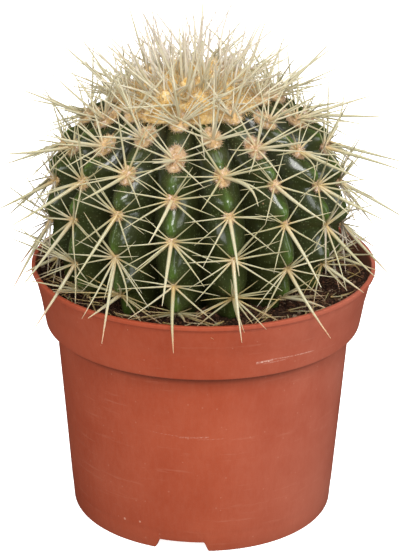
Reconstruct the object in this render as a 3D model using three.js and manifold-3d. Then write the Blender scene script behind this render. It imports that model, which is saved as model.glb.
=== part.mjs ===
// A round cactus with sixteen ribs, growing in a thin plastic nursery pot.
// Millimetres, +Z up. The origin is on the ground at the middle of the pot, and the front is -Y.

import * as THREE from 'three';
import { mergeVertices } from 'three/addons/utils/BufferGeometryUtils.js';
import Module from 'manifold-3d';

const wasm = await Module();
wasm.setup();

const degree = Math.PI / 180;
const joinTolerance = 0.05;       // edges shorter than this are closed up after a join

// Pot
const potHeight = 90;
const rimRadius = 60;
const rimBand = 1.5;              // height of the thin ring round the mouth
const rimBandProud = 0.5;         // how far that ring stands out from the collar
const collarFootRadius = 56.8;
const collarFootHeight = 78.4;    // where the straight collar starts to turn in
const shoulderHeight = 69;        // flat ledge under the collar
const shoulderRadius = 55.2;
const bodyTopRadius = 51.7;
const footRadius = 46.3;
const wall = 1.2;
const footRingWidth = 1.7;
const floorLift = 3.9;            // the floor of the pot is lifted off the ground by this much
const potSides = 48;
const notchCount = 3;
const notchAngle = -9.6 * degree; // the first notch in the foot, measured from the front
const notchWidth = 17.8;          // at the ground, where the notch is widest
const notchHeight = 3.4;
const notchFlare = 2.4;           // how much each side of a notch draws in towards its top
const drainCount = 6;
const drainRadius = 4;
const drainCircle = 33;
const drainSides = 10;

// Soil
const seatGap = 0.3;              // clearance between pieces that touch
const soilHeight = 85;            // at the wall of the pot
const soilRise = 1.6;             // how much higher the soil lies against the plant
const soilLump = 0.45;            // height of its gentle lumps
const soilRings = 4;
const soilRingWidth = 5.5;

// Cactus body, a ribbed globe that leans a little to the front and to the left
const ribs = 16;
const bodyRadius = 52.5;          // at the crests of the ribs
const upperHeight = 44;
const lowerHeight = 39.8;
const roundness = 0.89;           // 1 is a true ellipse, less is squarer
const valleyShare = 0.17;         // depth of the valleys as a share of the radius
const columnsPerRib = 4;
const bodyCentre = new THREE.Vector3(-2.9, -0.5, 110.5);
const leanForward = 4.8 * degree;
const leanLeft = 2.9 * degree;
const firstRib = 14.45 * degree;  // the rib next to the middle of the front
const crownStart = 72 * degree;   // above this the wool of the crown covers the body
const neckStart = -66 * degree;   // below this the body draws in to its root neck
const neckRadius = 9;
const neckTipRadius = 5;
const neckHeight = 12;
const neckFillet = 5;             // how much wider the neck is where it meets the body
const bodyRows = 12;

// Areoles and spines
const areoleZero = 2.3 * degree;  // angle above the middle of the areoles nearest to it
const areoleStep = 9.1 * degree;  // half the spacing along a rib, as neighbours are staggered
const rootSpread = 1.2;           // the spines of an areole leave the skin this far from its middle
const rootDepth = 1.1;            // how far under the crest of the rib they start
const flankDrop = 1.1;            // how much deeper the roots on the flanks of a rib are sunk
const radialPairs = [             // clock angle from the top of the areole, and length, of each pair
  { clock: 40 * degree, length: 12.5 },
  { clock: 88 * degree, length: 17 },
  { clock: 133 * degree, length: 17.5 },
];
const radialRise = 18 * degree;   // above the skin, on the sides of the body
const crownRise = 56 * degree;    // above the skin, close to the crown
const centralLength = 27;
const centralRise = 38 * degree;  // the central spine hangs, on the sides of the body
const youngFrom = 30;             // degrees above the middle where the spines start to stand up
const youngTo = 80;
const youngGain = 0.25;           // how much longer, as a share, the radial spines are there
const clockSpread = 9 * degree;   // how far a spine may turn from its clock angle
const centralSpread = 17 * degree;
const spineRadius = 0.62;
const sideReach = 70;             // no tip lies further out than this, left, right, front or back
const topReach = 178;             // nor higher than this
const potClearance = 1.2;
const rimZone = 4;                // a spine over this outer part of the mouth has to clear the rim
const clearSteps = 16;            // points along a spine that are tested against the pot
const clearFirst = 5;             // the first of them, as those before it lie close to the plant
const clearTurns = 30;            // most turns that a spine makes to clear the pot
const outwardTurn = 0.04;
const upwardTurn = 0.08;

// Wool of the crown
const woolRadius = 17.4;
const woolRise = 3.6;
const woolRows = 4;
const woolSquareness = 0.7;       // 1 is an ellipse, less is squarer
const crownSpines = 96;
const crownMargin = 2;            // felt left bare round the outermost of them
const crownRootLift = 0.9;        // height of their roots above the underside of the wool
const crownLength = 23;
const crownSpread = 46 * degree;  // lean of the outermost spines of the crown
const crownTries = 20;            // directions tried for a spine that meets one of the body's
const crownBelt = 14;             // spines rooted less than this below the crown can meet its own

const colours = {
  terracotta: { color: 0xa9563b, roughness: 0.5, metalness: 0 },
  peat: { color: 0x35271d, roughness: 0.95, metalness: 0 },
  flesh: { color: 0x2c4a22, roughness: 0.35, metalness: 0 },
  wool: { color: 0xd9b06a, roughness: 0.9, metalness: 0 },
};

// The same stream of draws on every run
function makeDraw(seed) {
  let state = seed;
  return (low, high) => {
    state = (state * 16807) % 2147483647;
    return low + ((high - low) * state) / 2147483647;
  };
}

// Joins equal vertices and drops the flat triangles that a turned profile has at its poles
function weld(geometry) {
  geometry.deleteAttribute('normal');
  geometry.deleteAttribute('uv');
  const merged = mergeVertices(geometry);
  const corners = merged.index.array;
  const kept = [];
  for (let i = 0; i < corners.length; i += 3) {
    const [a, b, c] = corners.slice(i, i + 3);
    if (a !== b && b !== c && c !== a) {
      kept.push(a, b, c);
    }
  }
  merged.setIndex(kept);
  return merged;
}

function toSolid(geometry) {
  const welded = weld(geometry);
  const mesh = new wasm.Mesh({
    numProp: 3,
    vertProperties: new Float32Array(welded.attributes.position.array),
    triVerts: new Uint32Array(welded.index.array),
  });
  return new wasm.Manifold(mesh);
}

// The largest closed body of a join, which leaves loose scraps and sealed hollows behind
function toGeometry(solid) {
  const bodies = solid.simplify(joinTolerance).decompose();
  bodies.sort((a, b) => b.volume() - a.volume());
  const mesh = bodies[0].getMesh();
  const geometry = new THREE.BufferGeometry();
  geometry.setAttribute('position', new THREE.BufferAttribute(mesh.vertProperties, 3));
  geometry.setIndex(new THREE.BufferAttribute(mesh.triVerts, 1));
  return geometry;
}

function makeMesh(name, solid, colour) {
  const geometry = toGeometry(solid);
  geometry.computeVertexNormals();
  const mesh = new THREE.Mesh(geometry, new THREE.MeshStandardMaterial(colour));
  mesh.name = name;
  return mesh;
}

// Turns a profile of radius and height round the Z axis
function turned(points, sides) {
  const geometry = new THREE.LatheGeometry(points, sides);
  geometry.rotateX(Math.PI / 2);
  return geometry;
}

function at(radius, height) {
  return new THREE.Vector2(radius, height);
}

// Lower edge of the collar, a quarter ellipse, moved in by the wall for the inside
function shoulderCurve(inset, steps) {
  const points = [];
  for (let i = 0; i <= steps; i += 1) {
    const turn = (i / steps) * (Math.PI / 2);
    const radius = shoulderRadius + (collarFootRadius - shoulderRadius) * Math.sin(turn) - inset;
    const height = collarFootHeight - (collarFootHeight - shoulderHeight) * Math.cos(turn);
    points.push(at(radius, height + inset * Math.cos(turn)));
  }
  return points;
}

function makePot() {
  const collarTop = rimRadius - rimBandProud;
  const profile = [
    at(0, floorLift),
    at(footRadius - footRingWidth, floorLift),
    at(footRadius - footRingWidth, 0),
    at(footRadius, 0),
    at(bodyTopRadius, shoulderHeight),
    ...shoulderCurve(0, 4),
    at(collarTop, potHeight - rimBand),
    at(rimRadius, potHeight - rimBand),
    at(rimRadius, potHeight),
    at(collarTop - wall, potHeight),
    ...shoulderCurve(wall, 2).reverse(),
    at(bodyTopRadius - wall, shoulderHeight + wall),
    at(footRadius - wall, floorLift + wall),
    at(0, floorLift + wall),
  ];
  const shell = toSolid(turned(profile, potSides));
  const cuts = [];
  for (let i = 0; i < notchCount; i += 1) {
    cuts.push(notch(notchAngle + (i / notchCount) * 2 * Math.PI));
  }
  for (let i = 0; i < drainCount; i += 1) {
    cuts.push(drain(notchAngle + ((i + 0.5) / drainCount) * 2 * Math.PI));
  }
  return makeMesh('pot', shell.subtract(wasm.Manifold.union(cuts)), colours.terracotta);
}

// A slot with softly curved sides through the foot ring
function notch(angle) {
  const half = notchWidth / 2;
  const narrow = half - notchFlare;
  const bend = notchFlare / 2;
  const below = 2;
  const depth = 8 * footRingWidth;
  const outline = new THREE.Shape();
  outline.moveTo(-half, -below);
  outline.lineTo(half, -below);
  outline.lineTo(half, 0);
  outline.bezierCurveTo(half - bend, 0, narrow + bend, notchHeight, narrow, notchHeight);
  outline.lineTo(-narrow, notchHeight);
  outline.bezierCurveTo(-narrow - bend, notchHeight, bend - half, 0, -half, 0);
  outline.closePath();
  const block = new THREE.ExtrudeGeometry(outline, { depth, bevelEnabled: false, curveSegments: 4 });
  block.rotateX(Math.PI / 2);
  block.translate(0, depth / 2 - footRadius, 0);
  block.rotateZ(angle);
  return toSolid(block);
}

function drain(angle) {
  const hole = new THREE.CylinderGeometry(drainRadius, drainRadius, 4 * wall, drainSides);
  hole.rotateX(Math.PI / 2);
  hole.translate(0, -drainCircle, floorLift + wall / 2);
  hole.rotateZ(angle);
  return toSolid(hole);
}

// Radius and height of a rib's crest at an angle above the body's middle
function crest(angle, extra = 0) {
  const half = angle > 0 ? upperHeight : lowerHeight;
  const up = Math.sign(angle) * Math.abs(Math.sin(angle)) ** roundness;
  const radius = bodyRadius * Math.abs(Math.cos(angle)) ** roundness;
  return at(radius + extra, half * up + Math.sign(angle) * extra);
}

// Root neck, then the globe up to the flat seat of the crown
function bodyProfile(extra) {
  const lowest = crest(neckStart).y - neckHeight;
  const points = [
    at(0, lowest - extra),
    at(neckTipRadius + extra, lowest - extra),
    at(neckRadius + extra, lowest + neckHeight / 2),
    at(neckRadius + neckFillet + extra, lowest + 0.75 * neckHeight),
  ];
  for (let i = 0; i <= bodyRows; i += 1) {
    points.push(crest(neckStart + (i / bodyRows) * (crownStart - neckStart), extra));
  }
  points.push(at(0, points[points.length - 1].y));
  return points;
}

// Draws the skin in between the crests, along straight flanks
function cutValleys(geometry) {
  const place = geometry.attributes.position;
  const pitch = (2 * Math.PI) / ribs;
  for (let i = 0; i < place.count; i += 1) {
    const x = place.getX(i);
    const y = place.getY(i);
    const turn = Math.atan2(x, -y) - firstRib;
    const away = Math.abs(turn / pitch - Math.round(turn / pitch)) * 2;
    const isNeck = place.getZ(i) < crest(neckStart).y - 0.1;
    const scale = isNeck ? 1 : 1 - valleyShare * away;
    place.setX(i, x * scale);
    place.setY(i, y * scale);
  }
}

function bodyGeometry() {
  const geometry = turned(bodyProfile(0), ribs * columnsPerRib);
  geometry.rotateZ(firstRib);
  cutValleys(geometry);
  return geometry;
}

function soilHole() {
  const geometry = turned(bodyProfile(seatGap + 0.1), ribs * 2);
  geometry.rotateZ(firstRib);
  return geometry;
}

const plant = new THREE.Group();
plant.position.copy(bodyCentre);
plant.rotation.set(leanForward, -leanLeft, 0);
plant.updateMatrixWorld(true);

// Where an areole sits: its place on the crest, the way out of the skin and the way up the rib
function areoleFrame(rib, step) {
  const around = firstRib + (rib / ribs) * 2 * Math.PI;
  const angle = areoleZero + step * areoleStep;
  const small = 0.01;
  const here = crest(angle);
  const above = crest(Math.min(angle + small, Math.PI / 2));
  const along = above.sub(here).normalize();
  const front = new THREE.Vector3(Math.sin(around), -Math.cos(around), 0);
  const up = front.clone().multiplyScalar(along.x).setZ(along.y);
  const out = front.clone().multiplyScalar(along.y).setZ(-along.x);
  const place = front.clone().multiplyScalar(here.x).setZ(here.y);
  const side = new THREE.Vector3().crossVectors(up, out);
  return { place, up, out, side, angle };
}

// Every second areole of a rib, so that those on the next rib lie half a step higher or lower
function areolesBetween(lowStep, highStep) {
  const frames = [];
  for (let rib = 0; rib < ribs; rib += 1) {
    for (let step = lowStep; step <= highStep; step += 1) {
      if ((step + rib) % 2 === 0) {
        frames.push(areoleFrame(rib, step));
      }
    }
  }
  return frames;
}

// How far a point keeps from the soil and the mouth of the pot; below zero is too close
function roomAt(point) {
  const world = point.clone().applyMatrix4(plant.matrixWorld);
  const radius = Math.hypot(world.x, world.y);
  if (radius > rimRadius + potClearance) {
    return 1;
  }
  const top = radius > rimRadius - rimZone ? potHeight : soilHeight + soilRise + soilLump;
  return world.z - top - potClearance;
}

function isClear(root, way, length) {
  for (let i = clearFirst; i <= clearSteps; i += 1) {
    if (roomAt(root.clone().addScaledVector(way, (i / clearSteps) * length)) < 0) {
      return false;
    }
  }
  return true;
}

// Turns a spine up, little by little, until all of it clears the pot
function clearWay(root, way, length) {
  const outward = root.clone().setZ(0).normalize();
  const turnedWay = way.clone();
  for (let tries = 0; tries < clearTurns; tries += 1) {
    if (isClear(root, turnedWay, length)) {
      break;
    }
    turnedWay.addScaledVector(outward, outwardTurn);
    turnedWay.z += upwardTurn;
    turnedWay.normalize();
  }
  return turnedWay;
}

// Shortens a spine until its tip lies inside the plant's reach
function fittedLength(root, way, length) {
  const start = root.clone().applyMatrix4(plant.matrixWorld);
  const course = way.clone().transformDirection(plant.matrixWorld);
  const room = [
    (sideReach - Math.sign(course.x) * start.x) / Math.abs(course.x),
    (sideReach - Math.sign(course.y) * start.y) / Math.abs(course.y),
    course.z > 0 ? (topReach - start.z) / course.z : Infinity,
  ];
  return Math.min(length, ...room);
}

const spineLines = [];            // the middle line of each spine made so far

// A three-sided needle from a root under the felt
function spine(root, wanted, length) {
  const way = clearWay(root, wanted, length);
  const reach = fittedLength(root, way, length);
  spineLines.push(new THREE.Line3(root.clone(), root.clone().addScaledVector(way, reach)));
  const geometry = new THREE.ConeGeometry(spineRadius, reach, 3);
  geometry.translate(0, reach / 2, 0);
  const turn = new THREE.Quaternion().setFromUnitVectors(new THREE.Vector3(0, 1, 0), way);
  geometry.applyQuaternion(turn);
  geometry.translate(...root);
  return geometry;
}

// Direction at a clock angle round the areole, lifted off the skin by the rise
function direction(frame, clock, rise) {
  return new THREE.Vector3()
    .addScaledVector(frame.up, Math.cos(clock) * Math.cos(rise))
    .addScaledVector(frame.side, Math.sin(clock) * Math.cos(rise))
    .addScaledVector(frame.out, Math.sin(rise));
}

// A star of radial spines in pairs, with a longer central spine that points down the rib
function star(frame, draw) {
  const young = THREE.MathUtils.smoothstep(frame.angle / degree, youngFrom, youngTo);
  const needles = [];
  for (const pair of radialPairs) {
    for (const hand of [-1, 1]) {
      const clock = hand * (pair.clock + draw(-clockSpread, clockSpread));
      const rise = radialRise + (crownRise - radialRise) * young + draw(-5, 7) * degree;
      const depth = rootDepth + flankDrop * Math.abs(Math.sin(clock));
      const root = frame.place.clone().addScaledVector(direction(frame, clock, 0), rootSpread);
      root.addScaledVector(frame.out, -depth);
      const length = pair.length * draw(0.9, 1.1) * (1 + youngGain * young);
      needles.push(toSolid(spine(root, direction(frame, clock, rise), length)));
    }
  }
  const rise = centralRise + (Math.PI / 2 - centralRise) * young + draw(-6, 10) * degree;
  const way = direction(frame, Math.PI + draw(-centralSpread, centralSpread), rise);
  const heart = frame.place.clone().addScaledVector(frame.out, -2 * rootDepth);
  needles.push(toSolid(spine(heart, way, centralLength * draw(0.9, 1.12))));
  return needles;
}

function makeCactus() {
  const draw = makeDraw(2719);
  const pieces = [toSolid(bodyGeometry())];
  for (const frame of areolesBetween(-3, 7)) {
    pieces.push(...star(frame, draw));
  }
  return makeMesh('cactus', wasm.Manifold.union(pieces), colours.flesh);
}

// Low dome of wool on the flat seat at the top of the body
function woolGeometry() {
  const seat = crest(crownStart).y + seatGap;
  const profile = [at(0, seat), at(woolRadius, seat)];
  for (let i = 1; i < woolRows; i += 1) {
    const turn = (i / woolRows) * (Math.PI / 2);
    profile.push(at(woolRadius * Math.cos(turn) ** woolSquareness, seat + woolRise * Math.sin(turn)));
  }
  profile.push(at(0, seat + woolRise));
  const geometry = turned(profile, ribs);
  geometry.rotateZ(firstRib);
  return geometry;
}

// True where a spine comes close to one of the others
function crosses(line, others) {
  const closest = (2.4 * spineRadius) ** 2;
  return others.some((other) => line.distanceSqToLine3(other) < closest);
}

// A crowd of upright young spines, set out like the seeds of a sunflower
function makeCrown() {
  const draw = makeDraw(8123);
  const neighbours = spineLines.filter((line) => line.start.z > crest(crownStart).y - crownBelt);
  const pieces = [toSolid(woolGeometry())];
  const goldenTurn = Math.PI * (3 - Math.sqrt(5));
  const rootHeight = crest(crownStart).y + seatGap + crownRootLift;
  for (let i = 0; i < crownSpines; i += 1) {
    const share = Math.sqrt((i + 0.5) / crownSpines);
    const turn = i * goldenTurn;
    const radius = share * (woolRadius - crownMargin);
    const root = new THREE.Vector3(radius * Math.cos(turn), radius * Math.sin(turn), rootHeight);
    const length = crownLength * draw(0.8, 1.15);
    for (let tries = 0; tries < crownTries; tries += 1) {
      const lean = crownSpread * share + draw(-9, 9) * degree;
      const aim = turn + draw(-0.5, 0.5);
      const way = new THREE.Vector3(Math.cos(aim), Math.sin(aim), 0).multiplyScalar(Math.sin(lean));
      way.z = Math.cos(lean);
      if (crosses(new THREE.Line3(root, root.clone().addScaledVector(way, length)), neighbours)) {
        continue;
      }
      pieces.push(toSolid(spine(root, way, length)));
      break;
    }
  }
  return makeMesh('crown', wasm.Manifold.union(pieces), colours.wool);
}

function makeSoil() {
  const inset = wall + seatGap;
  const wallRadius = collarRadiusAt(soilHeight) - inset;
  const profile = [
    at(0, floorLift + inset),
    at(footRadius - inset, floorLift + inset),
    at(bodyTopRadius - inset, shoulderHeight + inset),
    ...shoulderCurve(inset, 2),
  ];
  for (let i = 0; i < soilRings; i += 1) {
    profile.push(at(wallRadius - i * soilRingWidth, soilHeight + (i / soilRings) * soilRise));
  }
  profile.push(at(0, soilHeight + soilRise));
  const geometry = turned(profile, potSides);
  const place = geometry.attributes.position;
  for (let i = 0; i < place.count; i += 1) {
    const isInside = place.getZ(i) > soilHeight + 0.1;
    const wave = Math.sin(0.55 * place.getX(i)) * Math.cos(0.47 * place.getY(i) + 1);
    place.setZ(i, place.getZ(i) + (isInside ? soilLump * wave : 0));
  }
  const hole = soilHole().applyMatrix4(plant.matrixWorld);
  return makeMesh('soil', toSolid(geometry).subtract(toSolid(hole)), colours.peat);
}

function collarRadiusAt(height) {
  const share = (height - collarFootHeight) / (potHeight - rimBand - collarFootHeight);
  return collarFootRadius + share * (rimRadius - rimBandProud - collarFootRadius);
}

plant.add(makeCactus(), makeCrown());

const pottedCactus = new THREE.Group();
pottedCactus.add(makePot(), makeSoil(), plant);

export default pottedCactus;
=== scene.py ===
# Potted round cactus. Sizes in the dictionaries are in millimetres and degrees, except where they are
# multiplied by mm or a note says so; the scene is in metres.
from math import atan2, ceil, copysign, cos, degrees, exp, hypot, pi, radians, sin, sqrt

import bmesh
import bpy
from mathutils import Matrix, Vector, noise


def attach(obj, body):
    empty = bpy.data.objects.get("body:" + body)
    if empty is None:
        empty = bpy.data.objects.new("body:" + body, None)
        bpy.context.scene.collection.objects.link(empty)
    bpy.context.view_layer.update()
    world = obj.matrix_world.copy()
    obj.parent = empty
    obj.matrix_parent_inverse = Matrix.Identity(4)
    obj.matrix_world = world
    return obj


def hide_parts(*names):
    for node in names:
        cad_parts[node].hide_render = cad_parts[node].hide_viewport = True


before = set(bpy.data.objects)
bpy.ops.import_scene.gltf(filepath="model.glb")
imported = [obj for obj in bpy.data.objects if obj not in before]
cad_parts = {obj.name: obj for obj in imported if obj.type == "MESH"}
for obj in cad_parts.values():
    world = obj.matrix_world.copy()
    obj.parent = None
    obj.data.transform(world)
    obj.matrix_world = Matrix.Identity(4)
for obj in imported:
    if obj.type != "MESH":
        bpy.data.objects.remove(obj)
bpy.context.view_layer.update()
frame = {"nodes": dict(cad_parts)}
print("frame loaded:", ", ".join(frame["nodes"]))

mm = 0.001
fullTurn = 2 * pi
goldenTurn = pi * (3 - sqrt(5))


# The same stream of draws on every run
def makeDraw(seed):
    state, factor, period = [seed], 16807, 2147483647

    def draw(low, high):
        state[0] = (state[0] * factor) % period
        return low + (high - low) * state[0] / period
    return draw


def smoothStep(value, low, high):
    share = min(max((value - low) / (high - low), 0), 1)
    return share * share * (3 - 2 * share)


# Point on a circle round the Z axis; the angle starts at the front and runs to the right
def onCircle(radius, angle, height):
    return Vector((radius * sin(angle), -radius * cos(angle), height))


def onAxis(height):
    return Vector((0, 0, height))


def showMesh(name, mesh):
    piece = bpy.data.objects.new(name, mesh)
    bpy.context.scene.collection.objects.link(piece)
    return piece


# Numbers and vectors on a mesh's points, for its material or its tree
def addAttributes(mesh, numbers, vectors={}):
    for key, values in vectors.items():
        flat = [part for value in values for part in value]
        mesh.attributes.new(key, "FLOAT_VECTOR", "POINT").data.foreach_set("vector", flat)
    for key, values in numbers.items():
        mesh.attributes.new(key, "FLOAT", "POINT").data.foreach_set("value", values)


# Closed shell from rings of points in millimetres; the first and the last ring are single points
def shellFromRings(name, rings, numbers={}):
    points, faces = [], []
    for ring in rings:
        points.extend(point * mm for point in ring)
    b = 0
    for lower, upper in zip(rings, rings[1:]):
        a, b = b, b + len(lower)
        count = max(len(lower), len(upper))
        for j in range(count):
            after = (j + 1) % count
            if len(lower) == 1:
                faces.append((a, b + after, b + j))
            elif len(upper) == 1:
                faces.append((a + j, a + after, b))
            else:
                faces.append((a + j, a + after, b + after, b + j))
    mesh = bpy.data.meshes.new(name)
    mesh.from_pydata(points, [], faces)
    addAttributes(mesh, numbers)
    shell = bmesh.new()
    shell.from_mesh(mesh)
    bmesh.ops.recalc_face_normals(shell, faces=shell.faces)
    shell.to_mesh(mesh)
    shell.free()
    mesh.shade_smooth()
    return showMesh(name, mesh)


def report(piece):
    print(piece.name + ":", len(piece.data.polygons), "faces")


# Turns what a modifier makes into the piece's own plain mesh
def bakeModifiers(piece):
    graph = bpy.context.evaluated_depsgraph_get()
    baked = bpy.data.meshes.new_from_object(piece.evaluated_get(graph))
    old = piece.data
    piece.modifiers.clear()
    piece.data = baked
    baked.name = old.name + "Baked"
    bpy.data.meshes.remove(old)
    return piece


def isSocket(value):
    return isinstance(value, bpy.types.NodeSocket)


def link(socket, target):
    target.id_data.links.new(socket, target)


# Adds a node; inputs are plain values, or sockets to link from
def addNode(tree, kind, inputs={}, **settings):
    node = tree.nodes.new(kind)
    for key, value in settings.items():
        setattr(node, key, value)
    for key, value in inputs.items():
        if isSocket(value):
            link(value, node.inputs[key])
        else:
            node.inputs[key].default_value = value
    return node


# Adds a node to the tree that its inputs link from
def nextNode(kind, inputs, **settings):
    tree = next(value.id_data for value in inputs.values() if isSocket(value))
    return addNode(tree, kind, inputs, **settings)


# The same, and gives the node's first output
def addStep(kind, inputs, **settings):
    return nextNode(kind, inputs, **settings).outputs[0]


photoCamera = {"place": (0, -683.75, 359.55), "down": 21.962, "turn": -0.1, "roll": 0.395, "lens": 137.18}


def makeCamera():
    turn, down = radians(photoCamera["turn"]), radians(photoCamera["down"])
    ahead = Vector((sin(turn) * cos(down), cos(turn) * cos(down), -sin(down)))
    right = ahead.cross(onAxis(1)).normalized()
    up = right.cross(ahead)
    roll = radians(photoCamera["roll"])
    rolledRight = cos(roll) * right + sin(roll) * up
    rolledUp = cos(roll) * up - sin(roll) * right
    data = bpy.data.cameras.new("photoCamera")
    data.lens = photoCamera["lens"]
    data.clip_start = 0.01
    camera = bpy.data.objects.new("photoCamera", data)
    camera.matrix_world = Matrix.Translation(Vector(photoCamera["place"]) * mm) @ Matrix(
        (rolledRight, rolledUp, -ahead)).transposed().to_4x4()
    bpy.context.scene.collection.objects.link(camera)
    bpy.context.scene.camera = camera


makeCamera()
print("camera set")


# Finishes; every pattern runs in object coordinates
def startMaterial(name, **sockets):
    material = bpy.data.materials.new(name)
    material.use_nodes = True
    shader = material.node_tree.nodes["Principled BSDF"]
    for key, value in sockets.items():
        shader.inputs[key.replace("_", " ")].default_value = value
    return material, material.node_tree, shader


def objectCoords(tree, scale=None):
    coords = addNode(tree, "ShaderNodeTexCoord").outputs["Object"]
    return addStep("ShaderNodeMapping", {"Vector": coords, "Scale": scale}) if scale else coords


def noiseValue(coords, scale, detail=3.0, rough=0.55):
    inputs = {"Vector": coords, "Scale": scale, "Detail": detail, "Roughness": rough}
    return nextNode("ShaderNodeTexNoise", inputs).outputs["Fac"]


# Moves a value from one range to another, held at both ends
def spread(value, low, high, toLow=0.0, toHigh=1.0):
    inputs = {"Value": value, "From Min": low, "From Max": high, "To Min": toLow, "To Max": toHigh}
    return addStep("ShaderNodeMapRange", inputs)


def spreadMm(value, low, high, toLow=0.0, toHigh=1.0):
    return spread(value, low * mm, high * mm, toLow, toHigh)


# A pattern is its noise (scale, detail, roughness) and how that is spread
def patternValue(coords, pattern):
    grain, band = pattern
    return spread(noiseValue(coords, *grain), *band)


def calc(operation, a, b=0.0):
    return addStep("ShaderNodeMath", {0: a, 1: b}, operation=operation)


def times(a, b):
    return calc("MULTIPLY", a, b)


def blendColour(share, a, b):
    colours = {}
    for key, value in ((6, a), (7, b)):
        colours[key] = value if isSocket(value) else (*value, 1)
    return nextNode("ShaderNodeMix", {0: share, **colours}, data_type="RGBA").outputs[2]


# Lays colours over a first one; a layer is its colour, its share and, for some, its strength
def layColours(colour, *layers):
    for over, share, *strength in layers:
        if strength:
            share = times(share, strength[0])
        colour = blendColour(share, colour, over)
    return colour


def attributeValue(tree, name):
    return addNode(tree, "ShaderNodeAttribute", attribute_name=name).outputs["Fac"]


# Small spots: the share of cells with one, and its size in cells
def specks(coords, scale, share, size):
    cells = nextNode("ShaderNodeTexVoronoi", {"Vector": coords, "Scale": scale})
    chance = addStep("ShaderNodeSeparateColor", {0: cells.outputs["Color"]})
    chosen = calc("LESS_THAN", chance, share)
    return times(chosen, spread(cells.outputs["Distance"], size, size * 0.5))


# Joins a finish's colour, bump and, where it varies, its roughness to the shader
def dress(shader, colour, skin, bumpStrength, bumpDepth, gloss=None):
    link(colour, shader.inputs["Base Color"])
    if gloss is not None:
        link(gloss, shader.inputs["Roughness"])
    bump = addStep("ShaderNodeBump", {"Height": skin, "Strength": bumpStrength, "Distance": bumpDepth})
    link(bump, shader.inputs["Normal"])


terracottaLook = {
    # The colour for the nub and the crease is real dirt on the nub and painted shade in the crease under the
    # ledge
    # The pale pink across the pot is a painted sheen on its right side
    "warm": (0.305, 0.049, 0.018), "light": (0.352, 0.068, 0.029), "dust": (0.58, 0.28, 0.19),
    "paintedSheen": (0.60, 0.33, 0.27), "grimeAndShade": (0.07, 0.018, 0.010), "run": (0.36, 0.068, 0.03),
    "scratch": (0.78, 0.55, 0.45), "chipped": (0.75, 0.42, 0.3), "splash": (0.10, 0.05, 0.028),
    "foot": (0.2, 0.05, 0.025),
    "runShare": 0.22, "rubShare": 0.22, "fineShare": 0.04, "speckShare": 0.2, "chipShare": 0.45,
    "creaseShare": 0.6, "splashShare": 0.85, "runRelief": 0.4, "bump": (0.16, 0.3 * mm),
    "mottle": ((34, 4, 0.6), (0.36, 0.66)), "grit": ((1500, 4, 0.8), (0.42, 0.62)),
    "gloss": ((60, 5, 0.65), (0.3, 0.7, 0.46, 0.6)), "skin": (900, 3, 0.6),
    "runs": ((120, 3), (0.4, 0.7)), "runStretch": (1, 1, 0.12),
    "rubs": ((160, 5, 0.7), (0.6, 0.78)), "rubStretch": (0.25, 0.25, 3.5),
    "fine": ((750, 4, 0.7), (0.4, 0.66)), "fineStretch": (1, 1, 0.35),
    "smallSpecks": (620, 0.07, 0.23), "largeSpecks": (190, 0.06, 0.06),
    # where the painted sheen on the right starts and ends, and how its mottle spreads
    "paintedSheenAcross": (5, 45, 0.0, 0.14), "paintedSheenMottle": (0.0, 1.0, 0.6, 1.0),
    # where the painted shade in the crease under the ledge starts and ends
    "creaseRise": (65.5, 67.4), "creaseEnd": (69.2, 69),
    "footLow": (6, 0, 0.0, 0.2), "footHigh": (40, 0, 0.0, 0.16),
    "wallAtSpot": (47, 8, 0.076),  # radius at a height, and how much it grows per millimetre
    "splashWall": (36.4, 36.1), "splashLow": (78.5, 79.5), "splashTop": (88.2, 84.5), "splashSlope": 0.25,
    "splashRagged": 7 * mm, "scuffEnd": 0.08, "spotEdge": (1.45, 1.05), "spotRagged": 0.7,
    "scuffs": [  # angle from, angle to, height from, height to, half width, strength
        (18, 24.5, 74.6, 74.9, 0.6, 0.8), (24, 41.5, 75.2, 74.4, 0.24, 0.7),
        (20.5, 31, 73.9, 74.3, 0.2, 0.5), (-21, -9, 46.3, 45.6, 0.2, 0.22),
        (-9.5, 3, 45.2, 45.6, 0.4, 0.32), (-2, 9, 44.6, 44.9, 0.2, 0.22),
    ],
    "chips": [  # angle, height, radius
        (-34.4, 8.6, 0.5), (-26.8, 9.2, 0.42), (12, 70.9, 0.35), (14.5, 70.7, 0.25),
    ],
    "nub": (-79.3, 9.4, 1.3),
}


# A scratch: pale where the point lies close to a line round the wall
def scuffShare(angle, height, scuff):
    start, end, low, high, half, strength = scuff
    along = spread(angle, radians(start), radians(end))
    line = calc("ADD", times(along, (high - low) * mm), low * mm)
    near = spreadMm(calc("ABSOLUTE", calc("SUBTRACT", height, line)), half, 0)
    fading = terracottaLook["scuffEnd"]
    ends = times(spread(along, 0.0, fading, 0.0, strength), spread(along, 1.0, 1.0 - fading))
    return times(near, ends)


# A small spot on the wall, with a ragged edge
def spotShare(coords, spot):
    angle, height, radius = spot
    wall, wallHeight, slope = terracottaLook["wallAtSpot"]
    middle = onCircle(wall + (height - wallHeight) * slope, radians(angle), height) * mm
    away = nextNode("ShaderNodeVectorMath", {0: coords, 1: middle}, operation="DISTANCE").outputs["Value"]
    ragged = times(noiseValue(coords, 1800, 2), terracottaLook["spotRagged"] * radius * mm)
    return spreadMm(calc("ADD", away, ragged), *(edge * radius for edge in terracottaLook["spotEdge"]))


# Distance of a point from the Z axis
def axisDistance(coords):
    flat = addStep("ShaderNodeVectorMath", {0: coords, 1: (1, 1, 0)}, operation="MULTIPLY")
    return nextNode("ShaderNodeVectorMath", {0: flat}, operation="LENGTH").outputs["Value"]


# Soil that clings to the inside of the collar, thinner towards the rim
def innerSplash(coords, height):
    look = terracottaLook
    upright = calc("SUBTRACT", axisDistance(coords), times(height, look["splashSlope"]))
    inside = times(spreadMm(upright, *look["splashWall"]), spreadMm(height, *look["splashLow"]))
    ragged = times(noiseValue(coords, 260, 5, 0.7), -look["splashRagged"])
    return times(inside, spreadMm(calc("ADD", height, ragged), *look["splashTop"]))


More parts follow.
